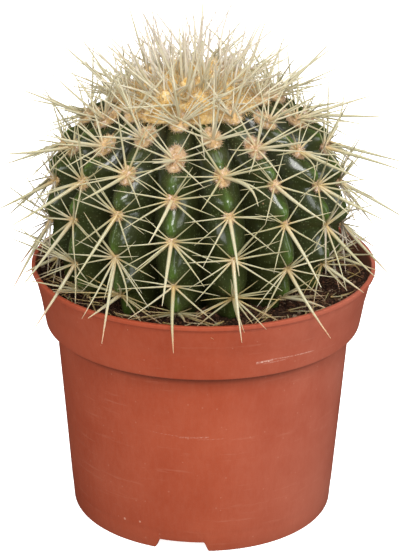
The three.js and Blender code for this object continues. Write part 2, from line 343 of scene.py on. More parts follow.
def makeTerracotta():
    look = terracottaLook
    material, tree, shader = startMaterial("terracottaPlastic", IOR=1.4, Specular_IOR_Level=0.28)
    coords = objectCoords(tree)
    across, back, height = nextNode("ShaderNodeSeparateXYZ", {0: coords}).outputs
    angle = calc("ARCTAN2", across, times(back, -1.0))
    mottle = patternValue(coords, look["mottle"])
    runs = patternValue(objectCoords(tree, look["runStretch"]), look["runs"])
    rubs = patternValue(objectCoords(tree, look["rubStretch"]), look["rubs"])
    fine = patternValue(objectCoords(tree, look["fineStretch"]), look["fine"])
    # Painted sheen: lighter and pinker towards the right, mottled
    paintedSheen = times(spreadMm(across, *look["paintedSheenAcross"]), spread(mottle, *look["paintedSheenMottle"]))
    small, large = specks(coords, *look["smallSpecks"]), specks(coords, *look["largeSpecks"])
    grit = patternValue(coords, look["grit"])
    # Painted shade: darker in the crease under the collar's ledge
    crease = times(spreadMm(height, *look["creaseRise"]), spreadMm(height, *look["creaseEnd"]))
    # Darker towards the bottom of the pot
    foot = calc("ADD", spreadMm(height, *look["footLow"]), spreadMm(height, *look["footHigh"]))
    colour = layColours(
        blendColour(mottle, look["warm"], look["light"]),
        (look["run"], runs, look["runShare"]),
        (look["dust"], rubs, look["rubShare"]),
        (look["dust"], fine, look["fineShare"]),
        (look["paintedSheen"], paintedSheen),
        (look["dust"], calc("MAXIMUM", small, large), look["speckShare"]),
        *((look["scratch"], scuffShare(angle, height, scuff), grit) for scuff in look["scuffs"]),
        *((look["chipped"], spotShare(coords, chip), look["chipShare"]) for chip in look["chips"]),
        (look["grimeAndShade"], spotShare(coords, look["nub"])),
        (look["grimeAndShade"], crease, look["creaseShare"]),  # painted shade under the ledge
        (look["splash"], innerSplash(coords, height), look["splashShare"]),
        (look["foot"], foot))
    skin = calc("ADD", noiseValue(coords, *look["skin"]), times(runs, look["runRelief"]))
    dress(shader, colour, skin, *look["bump"], patternValue(coords, look["gloss"]))
    return material


fleshLook = {
    # the crest colour is painted light on the rib crests
    # the valley colour is painted shade in the rib valleys
    "crest": (0.076, 0.145, 0.018), "flank": (0.035, 0.046, 0.009), "valley": (0.019, 0.020, 0.005),
    "marble": (0.018, 0.028, 0.006), "pore": (0.30, 0.32, 0.15), "dot": (0.15, 0.19, 0.085),
    "scar": (0.55, 0.34, 0.18),
    "patches": (95, 4, 0.6), "marbled": ((420, 4, 0.65), (0.45, 0.75, 0.0, 0.45)),
    "pores": (820, 0.36, 0.2), "dots": (1300, 0.4, 0.4), "scars": (260, 0.07, 0.11),
    "flankFrom": (0.12, 0.75), "crestPatches": (0.36, 0.6, 0.2, 1.0), "porePatches": (0.4, 0.6, 0.05, 0.26),
    "dotPatches": (0.65, 0.4, 0.15, 0.75), "scarShare": 0.8, "scarRelief": 0.6, "bump": (0.5, 0.5 * mm),
    "gloss": ((240, 4, 0.6), (0.35, 0.7, 0.32, 0.5)), "skin": (520, 5, 0.7),
}


def makeFlesh():
    look = fleshLook
    material, tree, shader = startMaterial(
        "cactusSkin", IOR=1.4, Specular_IOR_Level=0.3, Coat_Weight=1.0, Coat_Roughness=0.16, Coat_IOR=1.5)
    coords = objectCoords(tree)
    ridge, litCrest = attributeValue(tree, "ridge"), attributeValue(tree, "litCrest")
    patchy = noiseValue(coords, *look["patches"])
    scars = specks(coords, *look["scars"])
    colour = layColours(
        # painted shade: the valleys darker than the flanks
        blendColour(spread(ridge, *look["flankFrom"]), look["valley"], look["flank"]),
        # painted light: the lighter green strip on the crests
        (look["crest"], litCrest, spread(patchy, *look["crestPatches"])),
        (look["marble"], patternValue(coords, look["marbled"])),
        (look["pore"], specks(coords, *look["pores"]), spread(patchy, *look["porePatches"])),
        (look["dot"], specks(coords, *look["dots"]), spread(patchy, *look["dotPatches"])),
        (look["scar"], scars, look["scarShare"]))
    skin = calc("ADD", noiseValue(coords, *look["skin"]), times(scars, look["scarRelief"]))
    dress(shader, colour, skin, *look["bump"], patternValue(coords, look["gloss"]))
    return material


spineLook = {
    "root": (0.50, 0.33, 0.11), "shaft": (0.41, 0.38, 0.215), "tip": (0.43, 0.35, 0.21),
    # the reddish colour for spines below the rim is painted bounce light from the pot
    "pink": (0.74, 0.68, 0.62), "gold": (0.42, 0.29, 0.09), "paintedPotBounce": (0.56, 0.25, 0.13),
    # the rose colour is painted shade on spines at the plant's left and right sides
    "rose": (0.39, 0.325, 0.225), "cream": (0.72, 0.66, 0.51), "pinkTip": (0.46, 0.38, 0.32),
    "streak": (0.42, 0.35, 0.19), "streaks": ((700, 3, 0.7), (0.4, 0.7, 0.0, 0.3)),
    # where a colour starts and ends, and its shares there: along the spine, by its tone or by its height
    "shaftAlong": (0.03, 0.28), "tipAlong": (0.72, 1.0, 0.0, 0.7), "pinkTipAlong": (0.4, 1.0, 0.0, 0.85),
    "creamTone": (0.0, 0.65, 0.0, 0.75), "pinkTone": (0.6, 1.0, 0.0, 0.95), "pinkTipTone": (0.55, 0.85),
    "roseTone": (1.0, 2.0), "goldTone": (0.0, -1.0, 0.0, 0.9),
    "potBounceAlong": (0.45, 0.9, 0.0, 0.7), "overRim": (96, 86), "bump": (0.15, 0.2 * mm),
}


def makeSpineFinish():
    look = spineLook
    material, tree, shader = startMaterial(
        "spineHorn", Roughness=0.36, IOR=1.5, Specular_IOR_Level=0.95, Subsurface_Weight=0.25,
        Subsurface_Radius=(1.0, 0.8, 0.5), Subsurface_Scale=0.8 * mm)
    along, tone = attributeValue(tree, "along"), attributeValue(tree, "tone")
    coords = objectCoords(tree)
    height = nextNode("ShaderNodeSeparateXYZ", {0: coords}).outputs[2]
    colour = layColours(
        blendColour(spread(along, *look["shaftAlong"]), look["root"], look["shaft"]),
        (look["tip"], spread(along, *look["tipAlong"])),
        (look["cream"], spread(tone, *look["creamTone"])),
        (look["pink"], spread(tone, *look["pinkTone"])),
        (look["pinkTip"], spread(along, *look["pinkTipAlong"]), spread(tone, *look["pinkTipTone"])),
        # painted shade: the rose-grey spines at the sides
        (look["rose"], spread(tone, *look["roseTone"])),
        (look["gold"], spread(tone, *look["goldTone"])),
        # painted light: the pot's red bounce on the spines below the rim, towards their tips
        (look["paintedPotBounce"], spreadMm(height, *look["overRim"]), spread(along, *look["potBounceAlong"])),
        (look["streak"], patternValue(coords, look["streaks"])))
    dress(shader, colour, noiseValue(coords, 2600, 2), *look["bump"])
    return material


feltLook = {
    "woolly": ((440, 5, 0.8), (0.44, 0.57)), "patches": ((300, 3), (0.4, 0.6, 0.0, 0.7)),
    "tips": ((760, 4, 0.8), (0.52, 0.64, 0.0, 0.85)), "skin": (2400, 4, 0.7), "bump": (0.6, 0.5 * mm),
    "patchPale": 0.4, "goldDeep": 0.75, "goldShare": 0.9,
}


# Wool; a golden colour blends in by the tone of each pad
def makeFeltFinish(name, pale, deep, white, golden=None):
    material, tree, shader = startMaterial(name, Roughness=0.95, Sheen_Weight=0.35, Sheen_Roughness=0.5)
    coords = objectCoords(tree)
    woolly, patches, tips = (patternValue(coords, feltLook[key]) for key in ("woolly", "patches", "tips"))
    share = feltLook["patchPale"]
    layers = [([(1 - share) * a + share * b for a, b in zip(deep, pale)], patches)]
    if golden:
        warm = blendColour(woolly, [feltLook["goldDeep"] * part for part in golden], golden)
        layers.append((warm, attributeValue(tree, "tone"), feltLook["goldShare"]))
    colour = layColours(blendColour(woolly, deep, pale), *layers, (white, tips))
    dress(shader, colour, noiseValue(coords, *feltLook["skin"]), *feltLook["bump"])
    return material


peatLook = {
    "grain": ((800, 5, 0.75), (0.36, 0.68)), "redTone": (0.55, 0.9, 0.0, 0.85),
    "paleTone": (0.93, 0.98, 0.0, 0.8), "skin": (1500, 5, 0.8), "bump": (0.8, mm),
}


# Peat and its fibres; a few grains are red or pale by their tone
def makePeat(name, dark, brown, red, pale):
    material, tree, shader = startMaterial(name, Roughness=0.93, Specular_IOR_Level=0.3)
    coords, tone = objectCoords(tree), attributeValue(tree, "tone")
    colour = layColours(
        blendColour(patternValue(coords, peatLook["grain"]), dark, brown),
        (red, spread(tone, *peatLook["redTone"])), (pale, spread(tone, *peatLook["paleTone"])))
    dress(shader, colour, noiseValue(coords, *peatLook["skin"]), *peatLook["bump"])
    return material


terracotta = makeTerracotta()
cactusSkin = makeFlesh()
spineHorn = makeSpineFinish()
areoleWool = makeFeltFinish("areoleWool", pale=(0.66, 0.48, 0.30), deep=(0.36, 0.17, 0.05),
                            white=(0.84, 0.70, 0.62), golden=(0.76, 0.51, 0.20))
crownWool = makeFeltFinish("crownWool", pale=(0.86, 0.66, 0.31), deep=(0.60, 0.33, 0.05),
                           white=(0.93, 0.81, 0.57))
peat = makePeat("peat", dark=(0.016, 0.006, 0.003), brown=(0.062, 0.027, 0.012),
                red=(0.16, 0.066, 0.034), pale=(0.36, 0.27, 0.18))
fibre = makePeat("peatFibre", dark=(0.12, 0.065, 0.03), brown=(0.26, 0.155, 0.08),
                 red=(0.32, 0.17, 0.08), pale=(0.60, 0.47, 0.30))
print("finishes made")


potSizes = {
    "corners": [  # radius, height, rounding
        (0, 3.9, 0), (44.6, 3.9, 0.15), (44.6, 0, 0.35), (46.3, 0, 0.45), (46.84, 6.7, 0.6),
        (47.04, 8.1, 0.6), (51.7, 69, 0.3), (55.2, 69, 0.5), (55.7, 71.7, 1.2),
        (56.3, 75.2, 1.6), (56.8, 78.4, 1.6), (58.97, 87.45, 0.9), (58.65, 88.35, 0.15), (60, 88.65, 0.15),
        (60, 90, 0.35), (58.5, 90, 0.3), (55.6, 79.2, 2.0), (54.0, 70.3, 0.6), (50.5, 70.2, 0.6),
        (45.4, 5.1, 0.8), (0, 5.1, 0),
    ],
    "sides": 240, "longest": 4.0, "sharpFrom": 50, "wobble": 0.12, "wobbleScale": (1.3, 0.02),
    "wobbleRise": (5, 60), "wobbleTop": 88,
    "notches": 3, "notchAngle": -8.5, "notchWidth": 19.3, "notchHeight": 3.4, "notchFlare": 2.1,
    "footRadius": 46.3, "footBand": (44.5, 45.3, 47.5), "footReach": (3.9, 7.0),
    "notchColumns": (-2, 19), "columnStep": 0.2,
    "drains": 6, "drainRadius": 4, "drainCircle": 33, "drainAngle": 20.4, "drainMiddle": 4.5, "drainDepth": 5,
}


# Rounds each corner of a profile and divides its long stretches
def roundedProfile(corners, longest):
    points = [Vector(corners[0][:2])]
    for i in range(1, len(corners) - 1):
        before, here, after = (Vector(corners[i + k][:2]) for k in (-1, 0, 1))
        rounding = corners[i][2]
        start = here + (before - here).normalized() * rounding
        end = here + (after - here).normalized() * rounding
        for t in (0, 0.25, 0.5, 0.75, 1):
            points.append((1 - t) ** 2 * start + 2 * t * (1 - t) * here + t * t * end)
    points.append(Vector(corners[-1][:2]))
    fine = [points[0]]
    for before, after in zip(points, points[1:]):
        count = max(1, ceil((after - before).length / longest))
        fine.extend(before.lerp(after, k / count) for k in range(1, count + 1))
    return fine


def notchMiddles():
    return [potSizes["notchAngle"] + 360 * i / potSizes["notches"] for i in range(potSizes["notches"])]


# Angles of the lathe's columns, closer together at the sides of the notches
def potAngles():
    angles = {round(i * fullTurn / potSizes["sides"], 5) for i in range(potSizes["sides"])}
    half = degrees(potSizes["notchWidth"] / 2 / potSizes["footRadius"])
    for middle in notchMiddles():
        for side in (-1, 1):
            for k in range(*potSizes["notchColumns"]):
                angle = radians(middle + side * (half - k * potSizes["columnStep"]))
                angles.add(round(angle % fullTurn, 5))
    return sorted(angles)


# How far the foot is cut away above the ground at an angle
def notchLift(angle):
    lift = 0
    for middle in notchMiddles():
        off = abs((angle - radians(middle) + pi) % fullTurn - pi) * potSizes["footRadius"]
        edge = potSizes["notchWidth"] / 2
        lift = max(lift, potSizes["notchHeight"] * smoothStep(edge - off, 0, potSizes["notchFlare"]))
    return lift


# Over a notch the foot's two skins start higher, and meet the rest of the wall at their reach
def raisedFoot(radius, height, lift):
    inner, middle, outer = potSizes["footBand"]
    reach = potSizes["footReach"][0 if radius < middle else 1]
    isFoot = height < reach and inner < radius < outer
    return lift + height * (1 - lift / reach) if isFoot else height


def makePot():
    angles = potAngles()
    lifts = [notchLift(angle) for angle in angles]
    profile = roundedProfile(potSizes["corners"], potSizes["longest"])
    wide, tall = potSizes["wobbleScale"]
    rings = [[onAxis(profile[0].y)]]
    for radius, height in profile[1:-1]:
        wobble = potSizes["wobble"] * smoothStep(height, *potSizes["wobbleRise"])
        wobble *= height <= potSizes["wobbleTop"]
        ring = []
        for angle, lift in zip(angles, lifts):
            wave = noise.noise(Vector((cos(angle) * wide, sin(angle) * wide, height * tall)))
            ring.append(onCircle(radius + wave * wobble, angle, raisedFoot(radius, height, lift)))
        rings.append(ring)
    rings.append([onAxis(profile[-1].y)])
    pot = shellFromRings("potShell", rings)

    cutter = bmesh.new()
    for i in range(potSizes["drains"]):
        angle = radians(potSizes["drainAngle"] + 360 * i / potSizes["drains"])
        place = Matrix.Translation(onCircle(potSizes["drainCircle"], angle, potSizes["drainMiddle"]) * mm)
        bmesh.ops.create_cone(cutter, cap_ends=True, segments=40, radius1=potSizes["drainRadius"] * mm,
                              radius2=potSizes["drainRadius"] * mm, depth=potSizes["drainDepth"] * mm,
                              matrix=place)
    cutterMesh = bpy.data.meshes.new("drainCutter")
    cutter.to_mesh(cutterMesh)
    cutter.free()
    drill = showMesh("drainCutter", cutterMesh)
    drains = pot.modifiers.new("drains", "BOOLEAN")
    drains.operation = "DIFFERENCE"
    drains.object = drill
    drains.solver = "EXACT"
    bakeModifiers(pot)
    bpy.data.objects.remove(drill)
    pot.data.shade_smooth()
    pot.data.set_sharp_from_angle(angle=radians(potSizes["sharpFrom"]))
    pot.data.materials.clear()
    pot.data.materials.append(terracotta)
    return pot


potShell = makePot()
report(potShell)


# The plant's rule: a ribbed globe, with an areole at every other step up each rib
bodySizes = {
    "ribs": 16, "radius": 52.5, "upperHeight": 44, "lowerHeight": 39.8, "roundness": 0.89,
    "centre": (-2.9, -0.5, 110.5), "leanForward": 4.8, "leanLeft": 2.9, "firstRib": 14.45,
    "areoleZero": 2.3, "areoleStep": 9.1, "lowestStep": -3, "highestStep": 7, "crownStart": 72,
    "neckStart": -66, "neckRadius": 9, "neckTipRadius": 5, "neckHeight": 12, "neckFillet": 5,
    "valleyShare": 0.2, "crestRounding": 0.09, "ripple": 0.22, "rippleScale": (9, 11, 3.7),
    "hump": 2.7, "humpFade": (66, 30), "notch": 2.5, "notchFade": (76, 54),
    "columnsPerRib": 20, "rows": 150, "sharpFrom": 40,
}
ribPitch = fullTurn / bodySizes["ribs"]
firstRib = radians(bodySizes["firstRib"])
areoleZero, areoleStep = radians(bodySizes["areoleZero"]), radians(bodySizes["areoleStep"])
neckStart, crownStart = radians(bodySizes["neckStart"]), radians(bodySizes["crownStart"])
plantPlace = (Matrix.Translation(bodySizes["centre"])
              @ Matrix.Rotation(radians(bodySizes["leanForward"]), 4, "X")
              @ Matrix.Rotation(radians(-bodySizes["leanLeft"]), 4, "Y"))
plantTurn = plantPlace.to_3x3()


# Smooth fade by an angle above the body's middle, between two angles in degrees
def fade(angle, start, end):
    return smoothStep(degrees(angle), start, end)


# Angles of evenly spaced columns, from the first rib on
def columnAngles(count):
    return [firstRib + i * fullTurn / count for i in range(count)]


def placedRings(rings):
    return [[plantPlace @ point for point in ring] for ring in rings]


# Radius and height of a rib's crest at an angle above the body's middle
def crest(angle):
    half = bodySizes["upperHeight"] if angle > 0 else bodySizes["lowerHeight"]
    up = copysign(abs(sin(angle)) ** bodySizes["roundness"], angle)
    return Vector((bodySizes["radius"] * abs(cos(angle)) ** bodySizes["roundness"], half * up))


def crestNormal(angle):
    along = (crest(min(angle + 0.01, pi / 2)) - crest(angle)).normalized()
    return Vector((along.y, -along.x))


# Where an areole sits: its place on the crest, the way out of the skin and the way up the rib
def areoleFrame(rib, step):
    angle = areoleZero + step * areoleStep
    here, out2 = crest(angle), crestNormal(angle)
    front = onCircle(1, firstRib + rib * ribPitch, 0)
    out = front * out2.x + onAxis(out2.y)
    up = front * -out2.y + onAxis(out2.x)
    place = front * here.x + onAxis(here.y)
    return {"place": place, "pad": place - out * 0.8 * notchDepth(angle), "up": up, "out": out,
            "side": up.cross(out), "angle": angle, "step": step}


def areolesBetween(lowStep, highStep):
    return [areoleFrame(rib, step) for rib in range(bodySizes["ribs"])
            for step in range(lowStep, highStep + 1) if (step + rib) % 2 == 0]


# 0 at an areole, 1 where the rib swells most, a little above the next areole down
def swelling(rib, angle):
    step = (angle - areoleZero) / areoleStep
    down = ((rib % 2 - step) / 2) % 1
    return sin(pi * down ** 2) ** 1.2 * fade(angle, *bodySizes["humpFade"])


# How far the rib dips where its areoles sit; the ribs run smooth near the crown
def notchDepth(angle):
    return bodySizes["notch"] * fade(angle, *bodySizes["notchFade"])


# A point of the skin, and how far it lies from its rib's crest: 0 on it, 1 in the valley
def skinPoint(around, angle):
    turn = (around - firstRib) / ribPitch
    rib = round(turn)
    away = min(abs(turn - rib) * 2, 1)
    edge = bodySizes["crestRounding"]
    rounded = (sqrt(away * away + edge * edge) - edge) / (sqrt(1 + edge * edge) - edge)
    deep = bodySizes["valleyShare"] * (0.8 * rounded + 0.3 * rounded ** 2.4)
    here, out = crest(angle), crestNormal(angle)
    swell = bodySizes["hump"] * swelling(rib % bodySizes["ribs"], angle) * (1 - away ** 1.5)
    swell -= notchDepth(angle) * (1 - 0.6 * away)
    sideways, upwards, layer = bodySizes["rippleScale"]
    ripple = bodySizes["ripple"] * noise.noise(Vector((around * sideways, angle * upwards, layer)))
    radius = here.x * (1 - deep) + out.x * (swell + ripple)
    return onCircle(radius, around, here.y + out.y * swell), away


# Painted light: the ribs' crests are a lighter green strip, brightest where the rib swells most; it narrows and
# dulls between the humps
def litCrestShare(around, angle, away):
    swell = swelling(round((around - firstRib) / ribPitch) % bodySizes["ribs"], angle)
    return exp(-(away / (0.07 + 0.08 * swell)) ** 2) * (0.4 + 0.6 * swell)


def makeBody():
    columns = bodySizes["ribs"] * bodySizes["columnsPerRib"]
    arounds = columnAngles(columns)
    lowest = crest(neckStart).y - bodySizes["neckHeight"]
    neck = [(bodySizes["neckTipRadius"], 0), (bodySizes["neckRadius"], 0.5),
            (bodySizes["neckRadius"] + bodySizes["neckFillet"], 0.75)]
    rings = [[onAxis(lowest)]]
    for radius, share in neck:
        height = lowest + share * bodySizes["neckHeight"]
        rings.append([onCircle(radius, around, height) for around in arounds])
    ridge = [0.0] + [0.2] * (len(neck) * columns)
    litCrest = [0.0] * len(ridge)
    for i in range(bodySizes["rows"] + 1):
        angle = neckStart + (crownStart - neckStart) * i / bodySizes["rows"]
        skin = [skinPoint(around, angle) for around in arounds]
        rings.append([point for point, away in skin])
        ridge.extend(1 - away for point, away in skin)
        litCrest.extend(litCrestShare(around, angle, away) for around, (point, away) in zip(arounds, skin))
    rings.append([onAxis(crest(crownStart).y)])
    body = shellFromRings("cactusBody", placedRings(rings), {"ridge": ridge + [0.0], "litCrest": litCrest + [0.0]})
    body.data.set_sharp_from_angle(angle=radians(bodySizes["sharpFrom"]))
    body.data.materials.append(cactusSkin)
    return body


cactusBody = makeBody()
report(cactusBody)


soilSizes = {
    "height": 85, "rise": 1.4, "riseFade": (40, 57), "lump": 0.7, "grit": 0.35, "gap": 0.3, "edge": 57.0,
    "wall": [(55.3, 79), (53.7, 71), (50.2, 70), (50.1, 68), (44.9, 6), (44, 5.5)],  # radius, height
    "neckRoom": 12.5, "columns": 320, "topRings": 26, "pocketRings": 14, "pocketStep": 0.4,
}


def soilHeightAt(point):
    lump = noise.noise(Vector((point.x * 0.11, point.y * 0.11, 1.3)))
    lump += 0.5 * noise.noise(Vector((point.x * 0.33, point.y * 0.33, 7.1)))
    far = smoothStep(hypot(point.x, point.y), *soilSizes["riseFade"])
    return soilSizes["height"] + soilSizes["rise"] * (1 - far) + soilSizes["lump"] * lump


# The line of a column's skin under the soil, from the neck up to where it meets the top of the soil
def pocketLine(around):
    angle = neckStart
    gap = onCircle(soilSizes["gap"], around, 0)
    line = []
    while angle < pi / 2:
        world = plantPlace @ (skinPoint(around, angle)[0] + gap)
        if world.z > soilHeightAt(world):
            break
        line.append(world)
        angle = neckStart + len(line) * radians(soilSizes["pocketStep"])
    last = soilSizes["pocketRings"] - 1
    return [line[round(k * (len(line) - 1) / last)] for k in range(last + 1)]


def makeSoil():
    lines = [pocketLine(around) for around in columnAngles(soilSizes["columns"])]
    angles = [atan2(line[-1].x, -line[-1].y) for line in lines]
    neckFloor = crest(neckStart).y - soilSizes["neckRoom"]
    rings = [[plantPlace @ onAxis(neckFloor)], *(list(ring) for ring in zip(*lines))]
    pocketCount = len(rings)
    for k in range(1, soilSizes["topRings"] + 1):
        ring = []
        for line, angle in zip(lines, angles):
            point = line[-1].lerp(onCircle(soilSizes["edge"], angle, 0), k / soilSizes["topRings"])
            grit = soilSizes["grit"] * noise.noise(Vector((point.x, point.y, 0)) * 0.9)
            point.z = soilHeightAt(point) + grit
            ring.append(point)
        rings.append(ring)
    topCount = len(rings)
    for radius, height in soilSizes["wall"]:
        rings.append([onCircle(radius - soilSizes["gap"], angle, height) for angle in angles])
    rings.append([onAxis(soilSizes["wall"][-1][1])])
    isOpen = [float(pocketCount <= i < topCount) for i, ring in enumerate(rings) for point in ring]
    soil = shellFromRings("soilBed", rings, {"open": isOpen, "tone": [0.2] * len(isOpen)})
    soil.data.materials.append(peat)
    return soil


soilBed = makeSoil()
report(soilBed)


# Starts a tree that grows things on a piece's mesh; numbers are the sizes that a user may change
def startTree(name, numbers):
    tree = bpy.data.node_groups.new(name, "GeometryNodeTree")
    tree.interface.new_socket("Geometry", in_out="INPUT", socket_type="NodeSocketGeometry")
    for key, value in numbers.items():
        kind = "NodeSocketInt" if isinstance(value, int) else "NodeSocketFloat"
        tree.interface.new_socket(key, in_out="INPUT", socket_type=kind).default_value = value
    tree.interface.new_socket("Geometry", in_out="OUTPUT", socket_type="NodeSocketGeometry")
    return tree, addNode(tree, "NodeGroupInput").outputs


def named(tree, key, kind="FLOAT"):
    return addNode(tree, "GeometryNodeInputNamedAttribute", {"Name": key}, data_type=kind).outputs["Attribute"]


def namedVector(tree, key):
    return named(tree, key, "FLOAT_VECTOR")


def store(geometry, key, value, domain="POINT", kind="FLOAT"):
    inputs = {"Geometry": geometry, "Name": key, "Value": value}
    return addStep("GeometryNodeStoreNamedAttribute", inputs, data_type=kind, domain=domain)


def randomBetween(low, high, seed, salt):
    shifted = calc("ADD", seed, float(salt))
    node = nextNode("FunctionNodeRandomValue", {2: low, 3: high, "Seed": shifted}, data_type="FLOAT")
    return node.outputs[1]


def randomVector(tree, low, high, seed=0):
    inputs = {0: low, 1: high, "Seed": seed}
    return addNode(tree, "FunctionNodeRandomValue", inputs, data_type="FLOAT_VECTOR").outputs[0]


def ballOf(tree, subdivisions):
    return addNode(tree, "GeometryNodeMeshIcoSphere", {"Radius": 1.0, "Subdivisions": subdivisions}).outputs[0]


def vectorCalc(operation, a, b=(0, 0, 0)):
    return addStep("ShaderNodeVectorMath", {0: a, 1: b}, operation=operation)


def scaled(vector, scale):
    return addStep("ShaderNodeVectorMath", {0: vector, "Scale": scale}, operation="SCALE")


def scatter(surface, density, seed, chosen=True):
    return nextNode("GeometryNodeDistributePointsOnFaces", {
        "Mesh": surface, "Density": density, "Seed": seed, "Selection": chosen}).outputs


def putOn(points, shape, turn, size):
    return addStep("GeometryNodeInstanceOnPoints", {
        "Points": points, "Instance": shape, "Rotation": turn, "Scale": size})


def realise(geometry):
    return addStep("GeometryNodeRealizeInstances", {"Geometry": geometry})


def shift(geometry, offset):
    return addStep("GeometryNodeSetPosition", {"Geometry": geometry, "Offset": offset})


def smoothed(geometry):
    return addStep("GeometryNodeSetShadeSmooth", {"Geometry": geometry})


# Moves a surface in and out along its normals by noise
def makeLumpy(geometry, scale, detail, height, share):
    lumps = addNode(geometry.id_data, "ShaderNodeTexNoise", {"Scale": scale, "Detail": detail}).outputs[0]
    amount = times(times(calc("SUBTRACT", lumps, 0.5), height), share)
    normal = addNode(geometry.id_data, "GeometryNodeInputNormal").outputs[0]
    return shift(geometry, scaled(normal, amount))


def endTree(geometry, material):
    tree = geometry.id_data
    dressed = addStep("GeometryNodeSetMaterial", {"Geometry": realise(geometry), "Material": material})
    link(dressed, addNode(tree, "NodeGroupOutput").inputs[0])
    return tree


# Tapered, bowed shafts from points; aim, reach, girth and bend are sockets read on the points
def growShafts(points, aim, reach, girth, bend, sides, rings, tipShare):
    tree = points.id_data
    line = addNode(tree, "GeometryNodeCurvePrimitiveLine", {"Start": (0, 0, 0), "End": (0, 0, 1)})
    line = addStep("GeometryNodeResampleCurve", {"Curve": line.outputs[0], "Count": rings})
    turn = addStep("FunctionNodeAlignRotationToVector", {"Vector": aim}, axis="Z")
    size = addStep("ShaderNodeCombineXYZ", {0: 1.0, 1: 1.0, 2: reach})
    lines = store(putOn(points, line, turn, size), "girth", girth, "INSTANCE")
    lines = realise(store(lines, "bend", bend, "INSTANCE", "FLOAT_VECTOR"))
    share = addNode(tree, "GeometryNodeSplineParameter").outputs["Factor"]
    arch = calc("SINE", times(share, pi))
    lines = shift(lines, scaled(namedVector(tree, "bend"), arch))
    lines = store(lines, "along", share)
    left = calc("SUBTRACT", 1.0, tipShare)
    taper = calc("SUBTRACT", 1.0, times(calc("POWER", share, 1.8), left))
    radius = times(named(tree, "girth"), taper)
    lines = addStep("GeometryNodeSetCurveRadius", {"Curve": lines, "Radius": radius})
    ring = addNode(tree, "GeometryNodeCurvePrimitiveCircle", {"Resolution": sides, "Radius": 1.0})
    shafts = nextNode("GeometryNodeCurveToMesh", {
        "Curve": lines, "Profile Curve": ring.outputs[0], "Fill Caps": True})
    if "Scale" in shafts.inputs:
        link(addNode(tree, "GeometryNodeInputRadius").outputs[0], shafts.inputs["Scale"])
    return smoothed(shafts.outputs[0])


# Runs a tree on a piece and leaves a plain mesh
def runTree(piece, tree, numbers):
    grower = piece.modifiers.new(tree.name, "NODES")
    grower.node_group = tree
    for item in tree.interface.items_tree:
        if item.item_type == "SOCKET" and item.in_out == "INPUT" and item.name in numbers:
            grower[item.identifier] = numbers[item.name]
    return bakeModifiers(piece)


spineTreeSizes = {"Sides": 6, "Rings": 7, "Tip share": 0.16}


def makeSpineTree():
    tree, source = startTree("spineGrowth", spineTreeSizes)
    shafts = growShafts(source["Geometry"], namedVector(tree, "aim"), named(tree, "reach"),
                        named(tree, "girth"), namedVector(tree, "bend"), source["Sides"], source["Rings"],
                        source["Tip share"])
    return endTree(shafts, spineHorn)


spineTree = makeSpineTree()


# A cloud of points, each with the numbers and vectors that something grows by
def pointCloud(name, places, numbers, vectors):
    mesh = bpy.data.meshes.new(name)
    mesh.from_pydata(places, [], [])
    addAttributes(mesh, numbers, vectors)
    return showMesh(name, mesh)


def growSpines(name, spines):
    cloud = pointCloud(name, [spine["root"] * mm for spine in spines],
                       {key: [spine[key] for spine in spines] for key in ("reach", "girth", "tone")},
                       {key: [spine[key] for spine in spines] for key in ("aim", "bend")})
    return runTree(cloud, spineTree, spineTreeSizes)


# The star of spines on each areole, young ones nearer the crown
starSizes = {
    # angle from the rib's line, length, girth
    "pairs": [(40, 12.5, 0.25), (88, 17, 0.32), (133, 17.5, 0.36)],
    "extraPairs": [(66, 15.0, 0.26), (108, 16.5, 0.29)],
    # spreads of the rise, the length and the girth
    "pairSpread": ((-5, 7), (0.9, 1.1), (0.9, 1.15)), "extraSpread": ((-9, 12), (0.8, 1.1), (0.85, 1.15)),
    "extraShare": 0.66, "extraGain": 0.3, "mostTurned": 24,
    "rootSpread": 1.2, "rootDepth": 1.1, "flankDrop": 1.1, "clockSpread": 9, "radialRise": 18,
    "centralLength": 27, "centralRise": 38, "centralSpread": 17, "centralGirth": 0.68,
    "extraCentrals": 3, "centralShare": 0.3, "centralBand": (15, 24), "centralHair": 0.4,
    "uppers": [  # angle in radians, rise and its gain, length and its gain, girth, share and its gain
        ((0.2, 1.0), (26, 48), 6, (17, 27), 0.1, 0.42, 0.44, 0),
        ((0.1, 1.6), (28, 52), 4, (12, 19), 0.4, 0.3, 0.3, 1),
    ],
    "young": (30, 80), "youngGain": 0.25, "crownRise": 56, "roseFrom": (0.78, 0.98), "roseShare": 0.9,
    "bow": 0.024, "hookShare": 0.06, "hookBow": 0.14, "cut": 0.4, "cutTurn": (12, 50),
    "sideReach": 69.8, "topReach": 177.3,
}
potGuard = {
    "clearance": 1.2, "rimRadius": 60, "rimZone": 4, "rimHeight": 91.2, "soilTop": 85.4,
    "parts": 16, "firstPart": 5, "tries": 30, "outward": 0.04, "upward": 0.08,
}


def direction(place, clock, rise):
    flat = cos(clock) * place["up"] + sin(clock) * place["side"]
    return cos(rise) * flat + sin(rise) * place["out"]


# How far a point keeps from the soil and the mouth of the pot; below zero is too close
def roomAt(point):
    world = plantPlace @ point
    radius = hypot(world.x, world.y)
    if radius > potGuard["rimRadius"] + potGuard["clearance"]:
        return 1
    overRim = radius > potGuard["rimRadius"] - potGuard["rimZone"]
    return world.z - potGuard["rimHeight" if overRim else "soilTop"]


# Turns a spine up, little by little, until all of it clears the pot
def clearWay(root, way, length):
    parts = potGuard["parts"]
    stops = [i / parts * length for i in range(potGuard["firstPart"], parts + 1)]
    push = Vector((root.x, root.y, 0)).normalized() * potGuard["outward"]
    turned, tries = way.copy(), 0
    while tries < potGuard["tries"] and any(roomAt(root + turned * stop) < 0 for stop in stops):
        turned = (turned + push + onAxis(potGuard["upward"])).normalized()
        tries += 1
    return turned


